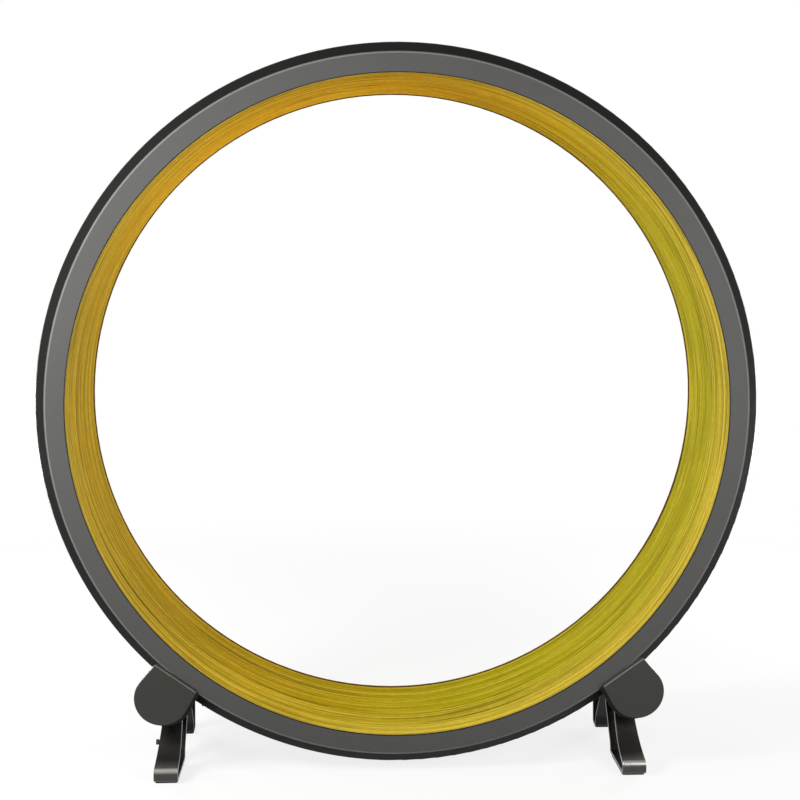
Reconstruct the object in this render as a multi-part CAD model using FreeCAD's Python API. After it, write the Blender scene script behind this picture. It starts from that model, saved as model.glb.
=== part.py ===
import FreeCAD, Part
import os
from math import atan2, cos, pi, radians, sin, tan

# Pet exercise wheel: a large open hoop wheel that turns on four rollers.
# Frame: X to the right, Y away from the viewer, Z up.  The origin is on the floor, under
# the middle of the whole object.  The front feet stand out further than anything at the
# rear, so the wheel's mid-depth lies a little behind the origin: shapes are drawn about
# mid-depth, and save() moves them.  The wheel turns about a line parallel to Y.
# All sizes are in millimetres.

Vector = FreeCAD.Vector

# ---- Wheel: driving dimensions ------------------------------------------------------
WHEEL_DIAMETER = 1000.0          # over the two outer bands
WHEEL_DEPTH = 220.0              # from front face to rear face
FLOOR_GAP = 10.0                 # lowest point of the wheel above the floor

# ---- Rims: two hoops bent from sheet, open channels that face each other ------------
RIM_WALL = 2.0
RIM_FACE_WIDTH = 27.4            # flat ring seen from the front
RIM_CHAMFER_RADIAL = 15.6        # sloping ring between the face and the outer band
RIM_CHAMFER_DEPTH = 16.0
RIM_BAND_DEPTH = 46.0            # from the face to the free edge of the band
RIM_HEM = 4.0                    # the band's free edge is turned inwards
RIM_EDGE_RADIUS = 3.0            # between face and chamfer
RIM_SHOULDER_RADIUS = 6.0        # between chamfer and band

# ---- Drum: curved panels under the running mat --------------------------------------
MAT_THICKNESS = 4.8
MAT_RECESS = 1.0                 # the rim's inner edge stands proud of the mat
PANEL_THICKNESS = 3.0
PANEL_COUNT = 6
PANEL_END_GAP = 0.6
SEAT_GAP = 0.2                   # between curved pieces that are fixed to each other
FACE_GAP = 0.3                   # between panel or mat ends and the rim's face
STRIP_WIDTH = 44.0               # cover strip behind each panel joint
STRIP_THICKNESS = 2.5
STRIP_END_GAP = 2.0              # between the strip's end and the rim's sleeve

# ---- Wheel screws: countersunk, under the mat ---------------------------------------
SCREW_RADIUS = 2.0
SCREW_HEAD_RADIUS = 3.9
SCREW_HEAD_DEPTH = 2.0
SCREW_TIP = 3.0                  # how far a screw stands out behind what it holds
SCREW_HOLE_GAP = 0.2
STRIP_SCREW_SPREAD = 12.0        # from the panel joint to each screw, along the arc
STRIP_SCREW_OFFSET = 38.0        # from mid-depth to each screw of a strip
RIM_SCREWS_PER_PANEL = 2
RIM_SCREW_DEPTH = 24.0           # from the rim's face to its screws

# ---- Rollers ------------------------------------------------------------------------
ROLLER_ANGLE = 39.0              # degrees from straight down to each axle
ROLLER_RADIUS = 18.0
ROLLER_WIDTH = 24.0
ROLLER_EDGE_RADIUS = 2.5
RUNNING_GAP = 0.3                # between a tyre and the wheel's band
TYRE_THICKNESS = 5.0
HUB_WALL = 2.0
HUB_SHOULDER = 1.6               # ring between the two bearings
FIT_GAP = 0.05                   # bearing seats on hub and axle

# ---- Ball bearings, two in each roller ----------------------------------------------
BEARING_WIDTH = 7.0
AXLE_RADIUS = 4.0
BEARING_RING = 2.2               # wall of the inner ring
BALL_RADIUS = 1.7
BALL_COUNT = 7
BALL_GAP = 0.3                   # between balls and the turning outer ring
GROOVE_GAP = 0.1                 # between balls and the standing inner ring
SPACER_WALL = 2.0
SPACER_GAP = 0.1                 # between spacer bore and axle

# ---- Stand: roller carriages and the cheek caps over their ears ---------------------
CHEEK_HALF_WIDTH = 38.0
CHEEK_DEPTH = 7.0                # from the ear to the cheek's outer face
CHEEK_WALL = 2.5
CHEEK_OVERLAP = 20.0             # how far the middle of its top edge reaches over the rim
CHEEK_FLARE = 6.0                # degrees by which each side leans out towards the round end
CHEEK_TURN = 3.5                 # degrees by which it hangs straighter than its axle's spoke
CHEEK_RAISE = 2.6                # from the axle to the centre of its round end, along it
CHEEK_SHIFT = 8.4                # and across it, outwards
CHEEK_CORNER_RADIUS = 3.0
CHEEK_EDGE_RADIUS = 1.5
CHEEK_FLANGE_GAP = 1.2           # between the cheek's top flange and the wheel's face
BOSS_RADIUS = 4.5                # pillars inside the cheek for its screws
EAR_THICKNESS = 3.0
EAR_MARGIN = 5.0                 # the ear is wider than the cheek on its inner side
EAR_GAP = 0.3                    # between the ear's top edge and the cheek's flange
SIDE_GAP = 2.0                   # between the ears and the wheel's faces
CARRIAGE_THICKNESS = 3.0
CARRIAGE_DROP = 9.5              # from the rollers down to the carriage's floor
AXLE_END = 2.8                   # how far the axle stands out of the ears
CLIP_WIDTH = 3.0                 # push-on rings on the axle's ends
CLIP_THICKNESS = 1.2

# ---- Stand: foot loops bent from flat bar -------------------------------------------
BAR_THICKNESS = 5.0
BAR_INSET = 17.8                 # from the axle to the bar's inner edge, sideways
BAR_WIDTH_TOP = 27.0
BAR_WIDTH_TOE = 33.0
TOE_REACH = 32.0                 # how far the front toe stands out past the wheel's face
TOE_HEIGHT = 19.0                # floor to the bend of the toe
TOE_BEND_RADIUS = 10.0
TOE_FLOOR_RADIUS = 6.0
SHIN_TOP_INSET = 30.0            # from the wheel's face back to the top of the shin
SHIN_KNEE_INSET = 10.0           # from the wheel's face back to the middle of the shin
SHIN_KNEE_HEIGHT = 38.0
SHIN_RADIUS = 90.0
LOOP_TOP_RADIUS = 8.0
LOOP_HEEL_INSET = 54.0           # from the wheel's face back to the end of the floor run
LOOP_HEEL_HEIGHT = 16.0
LOOP_HEEL_LEAN = 3.0             # how far the heel leans towards mid-depth
LOOP_HEEL_RADIUS = 6.0
LOOP_CALF_RADIUS = 14.0
LOOP_MID_GAP = 8.0               # from mid-depth to each loop's inner top corner
REAR_SOLE_START = 36.0           # the rear loops have no toe, only a short floor run,
REAR_SOLE_END = 60.0             # from and to these insets from the wheel's face
REAR_HEEL_LEAN = -2.0            # their heel leans away from mid-depth
BAR_EDGE_RADIUS = 0.8
PAD_THICKNESS = 2.5
PAD_MARGIN = 1.0
PAD_CORNER_RADIUS = 3.0

# ---- Stand: tie bar behind the wheel, on a tail of each rear ear --------------------
TIE_THICKNESS = 5.0
TIE_LOW = 24.0
TIE_HEIGHT = 20.0
TIE_SIDE_GAP = 6.0               # between the tie bar's ends and the foot loops
TIE_CORNER_RADIUS = 4.0
TAIL_WIDTH = 36.0
TAIL_HEIGHT = 86.0

# ---- Fasteners of the stand ---------------------------------------------------------
BOLT_RADIUS = 3.0
BOLT_HEAD_RADIUS = 5.6           # over the corners of the hexagon
BOLT_HEAD_HEIGHT = 4.0
NUT_HEIGHT = 5.0
BOLT_TIP = 1.5                   # how far a bolt stands out of its nut
BOLT_HOLE_GAP = 0.25
HEX_TOP_SHARE = 0.9              # radius of the round top of a hexagon, of its corner radius
CHEEK_SCREW_RADIUS = 2.0
CHEEK_SCREW_HEAD_RADIUS = 3.6
CHEEK_SCREW_HEAD_HEIGHT = 2.4
CHEEK_SCREW_LENGTH = 6.5
CHEEK_SCREW_PLACES = ((-10.0, -20.0), (-16.0, 12.0))   # along the cheek, across it
TIE_BOLT_SPACING = 17.0
FOOT_BOLT_INSETS = (44.0, 66.0)                        # from the wheel's face

# ---- Small screw in the outer edge of the front left foot loop ----------------------
PEG_HEIGHT = 44.5
PEG_DEPTH_SHARE = 0.7            # from the shin's front, measured level, of the bar's thickness
PEG_HEAD_RADIUS = 3.8
PEG_HEAD_HEIGHT = 3.6
PEG_NECK_RADIUS = 2.4
PEG_NECK_LENGTH = 0.8
PEG_SHANK_RADIUS = 1.5
PEG_SHANK_LENGTH = 9.0

# ---- Worked-out places --------------------------------------------------------------
R_OUT = WHEEL_DIAMETER / 2
AXIS_Z = R_OUT + FLOOR_GAP
HALF_DEPTH = WHEEL_DEPTH / 2
R_FACE = R_OUT - RIM_CHAMFER_RADIAL
R_OPEN = R_FACE - RIM_FACE_WIDTH
R_MAT_IN = R_OPEN + MAT_RECESS
R_MAT_OUT = R_MAT_IN + MAT_THICKNESS
R_PANEL_IN = R_MAT_OUT + SEAT_GAP
R_PANEL_OUT = R_PANEL_IN + PANEL_THICKNESS
R_SLEEVE_IN = R_PANEL_OUT + SEAT_GAP
R_SLEEVE_OUT = R_SLEEVE_IN + RIM_WALL
R_STRIP_OUT = R_SLEEVE_IN + STRIP_THICKNESS
DRUM_HALF = HALF_DEPTH - RIM_WALL - FACE_GAP
STRIP_HALF = HALF_DEPTH - RIM_BAND_DEPTH - STRIP_END_GAP
RIM_SCREW_Y = HALF_DEPTH - RIM_SCREW_DEPTH

R_AXLE = R_OUT + RUNNING_GAP + ROLLER_RADIUS
AXLE_X = R_AXLE * sin(radians(ROLLER_ANGLE))
AXLE_Z = AXIS_Z - R_AXLE * cos(radians(ROLLER_ANGLE))
ROLLER_Y = HALF_DEPTH - (RIM_CHAMFER_DEPTH + RIM_BAND_DEPTH) / 2
R_HUB_OUT = ROLLER_RADIUS - TYRE_THICKNESS
R_BEARING = R_HUB_OUT - HUB_WALL
R_RING_IN = AXLE_RADIUS + BEARING_RING
R_BALLS = (R_RING_IN + R_BEARING - BEARING_RING) / 2
SPACER_RADIUS = AXLE_RADIUS + SPACER_WALL

EAR_IN_Y = HALF_DEPTH + SIDE_GAP
EAR_OUT_Y = EAR_IN_Y + EAR_THICKNESS
CHEEK_OUT_Y = EAR_OUT_Y + CHEEK_DEPTH
CARRIAGE_TOP = AXLE_Z - ROLLER_RADIUS - CARRIAGE_DROP
LOOP_TOP = CARRIAGE_TOP - CARRIAGE_THICKNESS
BAR_IN_X = AXLE_X - BAR_INSET
TOE_Y = HALF_DEPTH + TOE_REACH

SIDES = (("right", 1), ("left", -1))
ENDS = (("front", -1), ("rear", 1))

AXIS_X = Vector(1, 0, 0)
AXIS_Y = Vector(0, 1, 0)
AXIS_UP = Vector(0, 0, 1)
WHEEL_CENTRE = Vector(0, 0, AXIS_Z)

CHEEK_TILT = radians(ROLLER_ANGLE - CHEEK_TURN)
ALONG = Vector(sin(CHEEK_TILT), 0, -cos(CHEEK_TILT))
ACROSS = Vector(-cos(CHEEK_TILT), 0, -sin(CHEEK_TILT))
CHEEK_CENTRE = Vector(AXLE_X, 0, AXLE_Z) - ALONG * CHEEK_RAISE - ACROSS * CHEEK_SHIFT
CHEEK_TOP = R_OUT - CHEEK_OVERLAP - (CHEEK_CENTRE - WHEEL_CENTRE).dot(ALONG)
EAR_TOP = CHEEK_TOP + CHEEK_WALL + EAR_GAP
TIE_END_X = BAR_IN_X - TIE_SIDE_GAP
DEPTH_SHIFT = (TOE_Y - EAR_OUT_Y - TIE_THICKNESS - BOLT_HEAD_HEIGHT) / 2


# ---- Shape helpers ------------------------------------------------------------------
def save(name, shape):
    """Write one sub-part under its own name, moved from mid-depth to its place in the frame."""
    shape.translated(Vector(0, DEPTH_SHIFT, 0)).exportStep("parts/" + name + ".step")


def group(shapes):
    """Keep separate solids together as one sub-part."""
    return Part.makeCompound(shapes)


def rounded_corner(before, here, after, radius):
    """Start, middle and end of the arc that rounds the corner at `here`."""
    towards_before = (before - here).normalize()
    towards_after = (after - here).normalize()
    half_angle = towards_before.getAngle(towards_after) / 2
    along = radius / tan(half_angle)
    bisector = (towards_before + towards_after).normalize()
    centre = here + bisector * (radius / sin(half_angle))
    return (here + towards_before * along, centre - bisector * radius, here + towards_after * along)


def rounded_face(corners):
    """Flat face through (point, radius) corners; a radius of 0 leaves a corner sharp."""
    points = [point for point, _ in corners]
    joints = []
    for index, (point, radius) in enumerate(corners):
        if radius > 0:
            after = points[(index + 1) % len(points)]
            joints.append(rounded_corner(points[index - 1], point, after, radius))
        else:
            joints.append((point,))
    edges = []
    for index, joint in enumerate(joints):
        start_of_next = joints[(index + 1) % len(joints)][0]
        if len(joint) > 1:
            edges.append(Part.Arc(*joint).toShape())
        if (joint[-1] - start_of_next).Length > 1e-6:
            edges.append(Part.LineSegment(joint[-1], start_of_next).toShape())
    return Part.Face(Part.Wire(edges))


def turned(corners, centre):
    """Solid turned about a line through `centre` along Y; corners are (radius, y, rounding)."""
    face = rounded_face([(centre + Vector(r, y, 0), rounding) for r, y, rounding in corners])
    return face.revolve(centre, AXIS_Y, 360)


def tube(centre, inner, outer, y_start, y_end):
    """Straight-walled ring along Y."""
    corners = ((inner, y_start, 0), (outer, y_start, 0), (outer, y_end, 0), (inner, y_end, 0))
    return turned(corners, centre)


def rod(start, direction, radius, length):
    """Round bar."""
    return Part.makeCylinder(radius, length, start, direction)


def hexagon(start, direction, radius, height):
    """Hexagonal block whose corners lie on `radius`."""
    corners = [Vector(radius * cos(k * pi / 3), radius * sin(k * pi / 3), 0) for k in range(6)]
    block = Part.Face(Part.makePolygon(corners + corners[:1])).extrude(Vector(0, 0, height))
    top = radius * HEX_TOP_SHARE
    block = block.common(Part.makeCone(top + height, top, height))
    block.Placement = FreeCAD.Placement(start, FreeCAD.Rotation(AXIS_UP, direction))
    return block


def mirrored(shape, side, end):
    """A copy for the given side and end; shapes are drawn for the right and the front."""
    copy = shape.copy()
    if side < 0:
        copy = copy.mirror(Vector(0, 0, 0), AXIS_X)
    if end > 0:
        copy = copy.mirror(Vector(0, 0, 0), AXIS_Y)
    return copy


def on_both_sides(shapes):
    """Copies of right-hand shapes for the right and the left."""
    return [mirrored(shape, side, -1) for _, side in SIDES for shape in shapes]


def on_all_corners(shapes):
    """Copies of right-hand front shapes for all four corners of the stand."""
    return [mirrored(shape, side, end) for _, side in SIDES for _, end in ENDS for shape in shapes]


def spun(shape, degrees):
    """A copy turned about the wheel's axis."""
    copy = shape.copy()
    copy.rotate(WHEEL_CENTRE, AXIS_Y, degrees)
    return copy


# ---- Wheel --------------------------------------------------------------------------
def wheel_screw(hole_gap, grip, y):
    """Countersunk screw along +X at the wheel's side, or its hole when it has a gap."""
    start = Vector(R_PANEL_IN, y, AXIS_Z)
    head = Part.makeCone(SCREW_HEAD_RADIUS + hole_gap, SCREW_RADIUS + hole_gap, SCREW_HEAD_DEPTH,
                         start, AXIS_X)
    shank = rod(start, AXIS_X, SCREW_RADIUS + hole_gap, grip + SCREW_TIP)
    return head.fuse(shank).removeSplitter()


def arc_degrees(length):
    """Angle that an arc length takes at the panels."""
    return length / R_PANEL_OUT * 180 / pi


def joint_angles():
    """Angles of the joints between panels; one is at the top of the wheel."""
    return [90 + k * 360 / PANEL_COUNT for k in range(PANEL_COUNT)]


def strip_screws(hole_gap):
    """Screws that hold one cover strip, at the joint at angle 0."""
    spread = arc_degrees(STRIP_SCREW_SPREAD)
    grip = R_STRIP_OUT - R_PANEL_IN
    return [spun(wheel_screw(hole_gap, grip, y), angle)
            for y in (-STRIP_SCREW_OFFSET, STRIP_SCREW_OFFSET) for angle in (-spread, spread)]


def rim_screw_angles():
    """Angles of the screws between a rim and the panels."""
    pitch = 360 / PANEL_COUNT / RIM_SCREWS_PER_PANEL
    return [joint_angles()[0] + (k + 0.5) * pitch for k in range(PANEL_COUNT * RIM_SCREWS_PER_PANEL)]


def rim_screws(hole_gap, end):
    """Screws that hold one rim."""
    grip = R_SLEEVE_OUT - R_PANEL_IN
    return [spun(wheel_screw(hole_gap, grip, end * RIM_SCREW_Y), angle) for angle in rim_screw_angles()]


def rim():
    """Front hoop: inner lip, face, chamfer, outer band with hem, and sleeve for the panels."""
    face = -HALF_DEPTH
    edge = face + RIM_BAND_DEPTH
    turn = atan2(RIM_CHAMFER_DEPTH, RIM_CHAMFER_RADIAL)
    inner_face_radius = R_FACE - RIM_WALL * tan(turn / 2)
    inner_shoulder = face + RIM_CHAMFER_DEPTH + RIM_WALL * tan((pi / 2 - turn) / 2)
    section = (
        (R_OPEN, face, RIM_WALL / 4),
        (R_FACE, face, RIM_EDGE_RADIUS),
        (R_OUT, face + RIM_CHAMFER_DEPTH, RIM_SHOULDER_RADIUS),
        (R_OUT, edge, RIM_WALL / 2),
        (R_OUT - RIM_HEM, edge, 0),
        (R_OUT - RIM_HEM, edge - RIM_WALL, 0),
        (R_OUT - RIM_WALL, edge - RIM_WALL, 0),
        (R_OUT - RIM_WALL, inner_shoulder, RIM_SHOULDER_RADIUS - RIM_WALL),
        (inner_face_radius, face + RIM_WALL, RIM_EDGE_RADIUS - RIM_WALL),
        (R_SLEEVE_OUT, face + RIM_WALL, 0),
        (R_SLEEVE_OUT, edge, 0),
        (R_SLEEVE_IN, edge, 0),
        (R_SLEEVE_IN, face + RIM_WALL, 0),
        (R_OPEN, face + RIM_WALL, 0),
    )
    return turned(section, WHEEL_CENTRE)


def drum_panel():
    """One curved panel, centred on angle 0."""
    gap = arc_degrees(PANEL_END_GAP)
    sweep = 360 / PANEL_COUNT - gap
    corners = (Vector(R_PANEL_IN, -DRUM_HALF, 0), Vector(R_PANEL_OUT, -DRUM_HALF, 0),
               Vector(R_PANEL_OUT, DRUM_HALF, 0), Vector(R_PANEL_IN, DRUM_HALF, 0))
    section = rounded_face([(WHEEL_CENTRE + corner, 0) for corner in corners])
    return spun(section.revolve(WHEEL_CENTRE, AXIS_Y, sweep), -sweep / 2)


def joint_strip():
    """Cover strip behind the panel joint at angle 0."""
    sweep = arc_degrees(STRIP_WIDTH)
    corners = (Vector(R_SLEEVE_IN, -STRIP_HALF, 0), Vector(R_STRIP_OUT, -STRIP_HALF, 0),
               Vector(R_STRIP_OUT, STRIP_HALF, 0), Vector(R_SLEEVE_IN, STRIP_HALF, 0))
    section = rounded_face([(WHEEL_CENTRE + corner, 0) for corner in corners])
    strip = spun(section.revolve(WHEEL_CENTRE, AXIS_Y, sweep), -sweep / 2)
    return strip.cut(group(strip_screws(SCREW_HOLE_GAP)))


def build_wheel():
    """Everything that turns with the wheel."""
    front_rim = rim()
    for name, end in ENDS:
        hoop = mirrored(front_rim, 1, end)
        save(name + "_rim", hoop.cut(group(rim_screws(SCREW_HOLE_GAP, end))))
        save("rim_screws_" + name, group(rim_screws(0, end)))

    strip_holes = [spun(hole, angle) for angle in joint_angles() for hole in strip_screws(SCREW_HOLE_GAP)]
    rim_holes = [hole for _, end in ENDS for hole in rim_screws(SCREW_HOLE_GAP, end)]
    holes = group(strip_holes + rim_holes)
    for number, angle in enumerate(joint_angles(), start=1):
        panel = spun(drum_panel(), angle + 180 / PANEL_COUNT)
        save("drum_panel_%d" % number, panel.cut(holes))
    save("panel_joint_strips", group([spun(joint_strip(), angle) for angle in joint_angles()]))
    screws = [spun(screw, angle) for angle in joint_angles() for screw in strip_screws(0)]
    save("panel_joint_screws", group(screws))
    save("running_mat", tube(WHEEL_CENTRE, R_MAT_IN, R_MAT_OUT, -DRUM_HALF, DRUM_HALF))


# ---- Rollers ------------------------------------------------------------------------
def bearing_rings(centre, y):
    """Outer ring and inner ring of one ball bearing, with the grooves for the balls."""
    half = BEARING_WIDTH / 2
    middle = centre + Vector(0, y, 0)
    ball_path = Part.makeTorus(R_BALLS, BALL_RADIUS + BALL_GAP, middle, AXIS_Y)
    inner_path = Part.makeTorus(R_BALLS, BALL_RADIUS + GROOVE_GAP, middle, AXIS_Y)
    outer = tube(middle, R_BEARING - BEARING_RING, R_BEARING - FIT_GAP, -half, half).cut(ball_path)
    inner = tube(middle, AXLE_RADIUS + FIT_GAP, R_RING_IN, -half, half).cut(inner_path)
    return outer, inner


def bearing_balls(centre, y):
    """The balls of one bearing."""
    balls = []
    for k in range(BALL_COUNT):
        angle = 2 * pi * k / BALL_COUNT
        place = centre + Vector(R_BALLS * cos(angle), y, R_BALLS * sin(angle))
        balls.append(Part.makeSphere(BALL_RADIUS, place))
    return balls


def bearing_places(end):
    """Middle of the two bearings of one roller, along Y."""
    offset = (ROLLER_WIDTH - BEARING_WIDTH) / 2
    return [end * ROLLER_Y - offset, end * ROLLER_Y + offset]


def roller_tyre(centre, y):
    """Soft tyre with rounded edges."""
    half = ROLLER_WIDTH / 2
    corners = ((R_HUB_OUT, y - half, 0), (ROLLER_RADIUS, y - half, ROLLER_EDGE_RADIUS),
               (ROLLER_RADIUS, y + half, ROLLER_EDGE_RADIUS), (R_HUB_OUT, y + half, 0))
    return turned(corners, centre)


def roller_hub(centre, y):
    """Hub with a bearing seat at each end and a shoulder between them."""
    half = ROLLER_WIDTH / 2
    shoulder = half - BEARING_WIDTH
    seat = R_BEARING - HUB_SHOULDER
    corners = ((R_BEARING, y - half, 0), (R_HUB_OUT, y - half, 0), (R_HUB_OUT, y + half, 0),
               (R_BEARING, y + half, 0), (R_BEARING, y + shoulder, 0), (seat, y + shoulder, 0),
               (seat, y - shoulder, 0), (R_BEARING, y - shoulder, 0))
    return turned(corners, centre)


def axle_spacers(centre):
    """Tubes on one axle that hold the bearings between the two ears."""
    outer_face = ROLLER_Y + ROLLER_WIDTH / 2
    inner_face = ROLLER_Y - ROLLER_WIDTH / 2
    between = ROLLER_WIDTH / 2 - BEARING_WIDTH
    spans = ((-EAR_IN_Y, -outer_face), (-ROLLER_Y - between, -ROLLER_Y + between),
             (-inner_face, inner_face), (ROLLER_Y - between, ROLLER_Y + between),
             (outer_face, EAR_IN_Y))
    bore = AXLE_RADIUS + SPACER_GAP
    return [tube(centre, bore, SPACER_RADIUS, start, stop) for start, stop in spans]


def build_rollers():
    """Four rollers, and what stands still inside them on the two axles."""
    for side_name, side in SIDES:
        centre = Vector(side * AXLE_X, 0, AXLE_Z)
        inner_rings = []
        balls = []
        for end_name, end in ENDS:
            outer_rings = []
            for place in bearing_places(end):
                outer, inner = bearing_rings(centre, place)
                outer_rings.append(outer)
                inner_rings.append(inner)
                balls.extend(bearing_balls(centre, place))
            label = side_name + "_" + end_name
            save("roller_tyre_" + label, roller_tyre(centre, end * ROLLER_Y))
            save("roller_hub_" + label, roller_hub(centre, end * ROLLER_Y))
            save("bearing_outer_rings_" + label, group(outer_rings))
        save("bearing_inner_rings_" + side_name, group(inner_rings))
        save("bearing_balls_" + side_name, group(balls))
        save("axle_spacers_" + side_name, group(axle_spacers(centre)))
        axle_half = EAR_OUT_Y + AXLE_END
        axle = rod(centre - AXIS_Y * axle_half, AXIS_Y, AXLE_RADIUS, 2 * axle_half)
        save("roller_axle_" + side_name, axle)


# ---- Stand --------------------------------------------------------------------------
def cheek_point(along, across, y):
    """Point of the right-hand cheek: along it (outwards from the wheel) and across it."""
    return CHEEK_CENTRE + ALONG * along + ACROSS * across + Vector(0, y, 0)


def cheek_side(along, reach):
    """Half width at a place along the cheek, for a flared side that passes its centre at `reach`."""
    flare = radians(CHEEK_FLARE)
    return (reach + along * sin(flare)) / cos(flare)


def tongue(y, thickness, top, inner_margin):
    """Plate with a straight top edge over the rim, flared sides and a round end."""
    end = CHEEK_HALF_WIDTH
    inner = CHEEK_HALF_WIDTH + inner_margin
    corners = (
        (cheek_point(top, -cheek_side(top, end), y), CHEEK_CORNER_RADIUS),
        (cheek_point(end, -cheek_side(end, end), y), end),
        (cheek_point(end, cheek_side(end, inner), y), end),
        (cheek_point(top, cheek_side(top, inner), y), CHEEK_CORNER_RADIUS),
    )
    return rounded_face(corners).extrude(Vector(0, thickness, 0))


def cheek_pins(radius, y_start, y_end):
    """Pins along Y at the screws of the right-hand front cheek."""
    return [rod(cheek_point(along, across, y_start), AXIS_Y, radius, y_end - y_start)
            for along, across in CHEEK_SCREW_PLACES]


def cheek_cap():
    """Right-hand front cheek: hollow cap with two screw pillars and a flange over the ear."""
    cap = tongue(-CHEEK_OUT_Y, CHEEK_DEPTH, CHEEK_TOP, 0)
    outer_edges = [edge for edge in cap.Edges if edge.BoundBox.YMax < -CHEEK_OUT_Y + CHEEK_EDGE_RADIUS]
    cap = cap.makeFillet(CHEEK_EDGE_RADIUS, outer_edges)

    floor_y = -CHEEK_OUT_Y + CHEEK_WALL
    outline = tongue(floor_y, CHEEK_DEPTH, CHEEK_TOP, 0).Faces
    floor = [face for face in outline if face.BoundBox.YMax < floor_y + CHEEK_EDGE_RADIUS][0]
    hollow = floor.makeOffset2D(-CHEEK_WALL).extrude(Vector(0, CHEEK_DEPTH, 0))
    cap = cap.cut(hollow)
    cap = cap.fuse(cheek_pins(BOSS_RADIUS, floor_y, -EAR_OUT_Y))

    flange_half = cheek_side(CHEEK_TOP, CHEEK_HALF_WIDTH) - CHEEK_CORNER_RADIUS
    corners = [cheek_point(along, across, -CHEEK_OUT_Y + CHEEK_DEPTH) for along, across in (
        (CHEEK_TOP, -flange_half), (CHEEK_TOP + CHEEK_WALL, -flange_half),
        (CHEEK_TOP + CHEEK_WALL, flange_half), (CHEEK_TOP, flange_half))]
    reach = EAR_OUT_Y - HALF_DEPTH - CHEEK_FLANGE_GAP
    flange = Part.Face(Part.makePolygon(corners + corners[:1])).extrude(Vector(0, reach, 0))
    cap = cap.fuse(flange).removeSplitter()
    screw_end = -EAR_IN_Y - CHEEK_SCREW_LENGTH
    return cap.cut(group(cheek_pins(CHEEK_SCREW_RADIUS, screw_end, -EAR_OUT_Y)))


def foot_bolt_places():
    """Where the foot loops are bolted to the right-hand carriage, front and rear."""
    x = BAR_IN_X + BAR_WIDTH_TOP / 2
    return [(x, end * (HALF_DEPTH - inset)) for _, end in ENDS for inset in FOOT_BOLT_INSETS]


def tie_bolt_places():
    """Middle of each bolt of the right-hand end of the tie bar, across and up."""
    middle = TIE_END_X - TAIL_WIDTH / 2
    z = TIE_LOW + TIE_HEIGHT / 2
    return [(middle - TIE_BOLT_SPACING / 2, z), (middle + TIE_BOLT_SPACING / 2, z)]


def carriage():
    """Right-hand roller carriage: floor plate, an upright ear at each end, a tail on the rear ear."""
    ear = tongue(-EAR_OUT_Y, EAR_THICKNESS, EAR_TOP, EAR_MARGIN)
    floor = Part.makeBox(BAR_WIDTH_TOE, 2 * EAR_IN_Y, CARRIAGE_THICKNESS,
                         Vector(BAR_IN_X, -EAR_IN_Y, LOOP_TOP))
    tail = Part.makeBox(TAIL_WIDTH, EAR_THICKNESS, TAIL_HEIGHT,
                        Vector(TIE_END_X - TAIL_WIDTH, EAR_IN_Y, TIE_LOW))
    body = floor.fuse([ear, mirrored(ear, 1, 1), tail]).removeSplitter()

    cuts = [rod(Vector(AXLE_X, -EAR_OUT_Y, AXLE_Z), AXIS_Y, AXLE_RADIUS + FIT_GAP, 2 * EAR_OUT_Y)]
    cuts += cheek_pins(CHEEK_SCREW_RADIUS + BOLT_HOLE_GAP, -EAR_OUT_Y, EAR_OUT_Y)
    hole = BOLT_RADIUS + BOLT_HOLE_GAP
    cuts += [rod(Vector(x, EAR_IN_Y, z), AXIS_Y, hole, EAR_THICKNESS) for x, z in tie_bolt_places()]
    cuts += [rod(Vector(x, y, LOOP_TOP), AXIS_UP, hole, CARRIAGE_THICKNESS)
             for x, y in foot_bolt_places()]
    return body.cut(group(cuts))


def front_loop_corners():
    """Side view of a front foot loop: shin, toe, floor run and heel; (y, z, rounding)."""
    return (
        (SHIN_KNEE_INSET - HALF_DEPTH, SHIN_KNEE_HEIGHT, SHIN_RADIUS),
        (-TOE_Y, TOE_HEIGHT, TOE_BEND_RADIUS),
        (-TOE_Y, PAD_THICKNESS, TOE_FLOOR_RADIUS),
        (LOOP_HEEL_INSET - HALF_DEPTH, PAD_THICKNESS, LOOP_HEEL_RADIUS),
        (LOOP_HEEL_INSET + LOOP_HEEL_LEAN - HALF_DEPTH, LOOP_HEEL_HEIGHT, LOOP_CALF_RADIUS),
    )


def rear_loop_corners():
    """Side view of a rear foot loop, drawn as if at the front: a short floor run and heel."""
    return (
        (REAR_SOLE_START - HALF_DEPTH, PAD_THICKNESS, LOOP_HEEL_RADIUS),
        (REAR_SOLE_END - HALF_DEPTH, PAD_THICKNESS, LOOP_HEEL_RADIUS),
        (REAR_SOLE_END + REAR_HEEL_LEAN - HALF_DEPTH, LOOP_HEEL_HEIGHT, LOOP_CALF_RADIUS),
    )


def loop_outline(x, lower_corners):
    """Side view of a foot loop under the carriage's floor, as a face at the given X."""
    corners = (
        (-LOOP_MID_GAP, LOOP_TOP, LOOP_TOP_RADIUS),
        (SHIN_TOP_INSET - HALF_DEPTH, LOOP_TOP, LOOP_TOP_RADIUS),
    ) + lower_corners
    return rounded_face([(Vector(x, y, z), radius) for y, z, radius in corners])


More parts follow.
